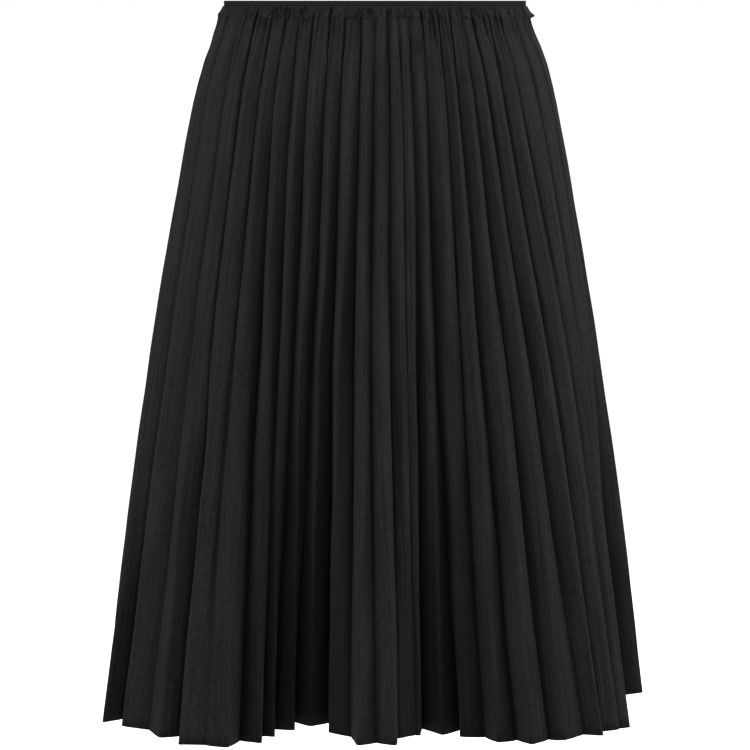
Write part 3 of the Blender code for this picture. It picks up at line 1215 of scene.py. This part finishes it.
@dataclass
class GatheredFrill:
    """The frill: the gathered heading that stands up from the waist seam over the elastic.

    Its gathers run on into the panels. It lies close at the front and the back, and stands
    out in crumpled tufts at the sides. Where a ripple takes a place's x and y, its turn is
    how fast it changes down the frill.
    """

    panels: tuple[PleatedPanel, ...]
    node: str = "waist_frill"
    rows: int = 14
    top: float = 5.0
    bottom: float = 14.8
    half_width: float = 127.6
    half_depth: float = 95.6
    lip: float = 0.12
    heel: float = 0.12
    thickness: float = 0.0005
    edge_wave: float = 0.5
    wave_pitch: float = 7.6
    edge_wander: Ripple = Ripple(1.8, 6.0, seed=1.0, start=3.0)
    crumple: Ripple = Ripple(1.2, 2.6, 2.6)
    crumple_turn: float = 1.6
    tears: Ripple = Ripple(1.0, 5.0, 5.0, 4.0)
    tears_turn: float = 0.8
    tufts: tuple[Tuft, ...] = (Tuft(-1.0, 2.2, 0.66), Tuft(1.0, 3.8, 0.82))
    ease_power: float = 0.7
    side_ease: float = 1.1
    side_narrowness: int = 4
    shade_spots: Ripple = Ripple(1.5, 2.8, 2.8)
    spots_turn: float = 1.2
    # Painted shade all over the frill, and more of it along the frill's top edge.
    shade: float = 0.2
    edge_shade: float = 0.3
    edge_share: float = 0.25
    flat: tuple[float, float] = (1.02, 0.0105)
    foot: list[SheetPoint] = field(default_factory=list)
    runs: list[float] = field(default_factory=list)

    def measure_foot(self) -> None:
        """Take the frill's foot from the tops of the panels, all round the waist."""
        self.foot = [point for panel in self.panels for point in panel.section_line(self.bottom)]
        self.foot.append(self.foot[0])
        self.runs = run_lengths([(point.x, point.y) for point in self.foot])

    def point(self, column: int, share: float) -> tuple[float, float, float]:
        """Place a point of the frill.

        Args:
            column: which column of the foot it stands over.
            share: how far down the frill it is.

        Returns:
            The point, in millimetres.
        """
        foot = self.foot[column]
        size = math.hypot(foot.x, foot.y)
        out_x, out_y = foot.x / size, foot.y / size
        held = 1 / math.hypot(foot.x / self.half_width, foot.y / self.half_depth)
        run = self.runs[column % (len(self.runs) - 1)]
        near = math.sin(math.pi * min(1.0, self.heel + (1 - self.heel) * share))
        torn = self.tears.at(foot.x, foot.y, self.tears_turn * share)
        out = self.lip * min(1.0, 2 * share)
        out += near * self.crumple.at(foot.x, foot.y, self.crumple_turn * share)
        out += sum(tuft.out(out_x, share, torn) for tuft in self.tufts)
        ease = share ** (self.ease_power + self.side_ease * out_x ** self.side_narrowness)
        x = between(foot.x * held, foot.x, ease) + out_x * out
        y = between(foot.y * held, foot.y, ease) + out_y * out
        wave = self.edge_wave * math.cos(math.tau * run / self.wave_pitch)
        drop = between(self.top + wave * (1 - share), self.bottom, share)
        return x, y, -(drop + share * self.edge_wander.at(run))

    def place(self, column: int, row: int) -> Placed:
        """Place a point of the strip.

        Args:
            column: its column, from the foot's start.
            row: its row, from the foot up.

        Returns:
            Its place, its UV and its painted shade.
        """
        share = 1 - row / self.rows
        x, y, z = self.point(column, share)
        foot = self.foot[column]
        # Painted shade: blotches, an even share over the frill, and more along its top edge.
        shade_spots = max(0.0, self.shade_spots.at(foot.x, foot.y, self.spots_turn * share))
        edge = self.edge_shade * max(0.0, 1 - share / self.edge_share)
        return Placed((x * MM, y * MM, z * MM),
                      (self.flat[0] * self.runs[column] / self.runs[-1],
                       self.flat[1] * row / self.rows), min(1.0, shade_spots + edge + self.shade))

    def build(self, material: bpy.types.Material) -> None:
        """Build the frill as a ring of gathers, closed where its ends meet.

        Args:
            material: its finish.
        """
        self.measure_foot()
        sheet = cloth_grid(len(self.foot) - 1, self.rows, self.place)
        bmesh.ops.remove_doubles(sheet, verts=sheet.verts[:], dist=MERGE_REACH)
        piece = finish_piece("frill_cloth", sheet, material, self.node)
        thicken(piece, self.thickness)


@dataclass
class GatherStitches:
    """The row of stitches that holds the frill on the elastic."""

    frill: GatheredFrill
    share: float = 0.3
    count: int = 250
    filled: float = 0.68
    thread: float = 0.2
    stand: float = 0.3
    sides: int = 6
    rings: int = 4
    shortest_run: float = 0.001

    def build(self, material: bpy.types.Material) -> None:
        """Lay a short length of thread for each stitch, as one piece.

        Args:
            material: the thread's finish.
        """
        row = bmesh.new()
        row.loops.layers.uv.new(UV_LAYER)
        path = [Vector(self.frill.point(column, self.share))
                for column in range(len(self.frill.foot))]
        pitch = self.frill.runs[-1] / self.count
        for number in range(self.count):
            start = self.at(path, number * pitch)
            end = self.at(path, (number + self.filled) * pitch)
            self.lay(row, start * MM, end * MM)
        finish_piece("gather_stitches", row, material)

    def at(self, path: list[Vector], run: float) -> Vector:
        """Find a place along a path over the frill, just proud of it.

        Args:
            path: the path, a point over each column of the frill's foot.
            run: how far along the foot, in millimetres.

        Returns:
            The place, in millimetres.
        """
        runs = self.frill.runs
        piece = bisect.bisect_right(runs, run, 1, len(runs) - 1) - 1
        share = (run - runs[piece]) / max(runs[piece + 1] - runs[piece], self.shortest_run)
        place = path[piece].lerp(path[piece + 1], share)
        return place + Vector((place.x, place.y, 0.0)).normalized() * self.stand

    def lay(self, row: bmesh.types.BMesh, start: Vector, end: Vector) -> None:
        """Add one stitch: a slim thread with round ends.

        Args:
            row: the stitches so far.
            start: where it starts, in metres.
            end: where it ends.
        """
        made = bmesh.ops.create_uvsphere(row, u_segments=self.sides, v_segments=self.rings,
                                         radius=self.thread * MM)["verts"]
        way = end - start
        stretch = way.length / 2
        for vert in made:
            vert.co.z += stretch if vert.co.z > 0 else -stretch
        turned = Vector((0, 0, 1)).rotation_difference(way).to_matrix()
        bmesh.ops.rotate(row, cent=(0, 0, 0), matrix=turned, verts=made)
        bmesh.ops.translate(row, vec=(start + end) / 2, verts=made)


@dataclass(frozen=True)
class SoftLight:
    """A square soft light that faces a point of the skirt."""

    name: str
    place: tuple[float, float, float]
    size: float
    power: float


@dataclass(frozen=True)
class Studio:
    """The floor, the lights and the camera."""

    floor_drop: float = 1.02
    floor_radius: float = 300.0
    floor_sides: int = 96
    floor_tone: Colour = (0.45, 0.45, 0.45, 1.0)
    floor_roughness: float = 0.9
    white: Colour = (1.0, 1.0, 1.0, 1.0)
    ambient: float = 0.225
    aim: tuple[float, float, float] = (0.0, 0.0, -0.25)
    camera_distance: float = 2.868
    camera_pitch: float = 6.295
    lens: float = 162.9
    sensor: float = 36.0
    view_reach: float = 1000.0
    lights: tuple[SoftLight, ...] = (
        SoftLight("key", (-0.1, -2.4, 1.0), 1.6, 41.0),
        SoftLight("left", (-1.4, -0.7, 0.9), 0.9, 39.0),
        SoftLight("right", (1.5, -0.45, 0.7), 0.9, 44.0),
        SoftLight("back", (0.2, 2.6, 1.1), 1.6, 105.0),
    )

    def build(self) -> None:
        """Set the studio up round the skirt."""
        self.lay_floor()
        self.whiten()
        for light in self.lights:
            self.hang(light)
        self.place_camera()

    def lay_floor(self) -> None:
        """Lay a plain pale floor, which looks as white as the surround."""
        disc = bmesh.new()
        bmesh.ops.create_circle(disc, cap_ends=True, segments=self.floor_sides,
                                radius=self.floor_radius)
        bmesh.ops.translate(disc, vec=(0, 0, -self.floor_drop), verts=disc.verts[:])
        graph = NodeGraph(bpy.data.materials.new("pale floor"), "Principled BSDF")
        shown = graph.add("ShaderNodeLightPath").outputs["Is Camera Ray"]
        graph.dress(Base_Color=self.floor_tone, Roughness=self.floor_roughness,
                    Specular_IOR_Level=0.0, Emission_Color=self.white,
                    Emission_Strength=shown)
        floor = add_mesh("floor", disc, graph.owner)

    def whiten(self) -> None:
        """Surround the skirt with white that lights it softly, and show colours as they are."""
        scene = bpy.context.scene
        graph = NodeGraph(bpy.data.worlds.new("white surround"), "Background")
        shown = graph.add("ShaderNodeLightPath").outputs["Is Camera Ray"]
        strength = graph.add("ShaderNodeMapRange", Value=shown, To_Min=self.ambient, To_Max=1.0)
        scene.world = graph.dress(Color=self.white, Strength=strength.outputs["Result"])
        scene.view_settings.view_transform = "Standard"

    def hang(self, light: SoftLight) -> None:
        """Hang one soft light, facing the skirt.

        Args:
            light: the light.
        """
        data = bpy.data.lights.new(light.name, "AREA")
        data.size, data.energy = light.size, light.power
        lamp = add_object(light.name, data)
        lamp.location = light.place
        way = Vector(self.aim) - Vector(light.place)
        lamp.rotation_euler = way.to_track_quat("-Z", "Y").to_euler()

    def place_camera(self) -> None:
        """Place the camera level with the waist, looking a little down."""
        data = bpy.data.cameras.new("camera")
        data.sensor_width, data.lens, data.clip_end = self.sensor, self.lens, self.view_reach
        camera = add_object("camera", data)
        camera.location = (0.0, -self.camera_distance, 0.0)
        camera.rotation_euler = (math.radians(90.0 - self.camera_pitch), 0.0, 0.0)
        bpy.context.scene.camera = camera


def main() -> None:
    """Dress the skirt and set up the studio."""
    logging.basicConfig(level=logging.INFO, format="%(name)s: %(message)s")
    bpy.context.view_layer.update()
    form = HangingForm()
    pleated = ClothFinish("pleated cloth").make()
    gathered = ClothFinish("gathered cloth", crinkle=Clouds(600.0, 120.0, 3.0)).make()
    front = PleatedPanel(Panel.FRONT, form, seed=3.7, flat=(1.38, 0.59), flat_area=0.53)
    back = PleatedPanel(Panel.BACK, form, seed=11.3, flat=(1.28, 0.59), flat_area=0.49)
    front.build(pleated)
    back.build(pleated)
    ElasticBand().build()
    frill = GatheredFrill((front, back))
    frill.build(gathered)
    GatherStitches(frill).build(gathered)
    Studio().build()


if __name__ == "__main__":
    main()
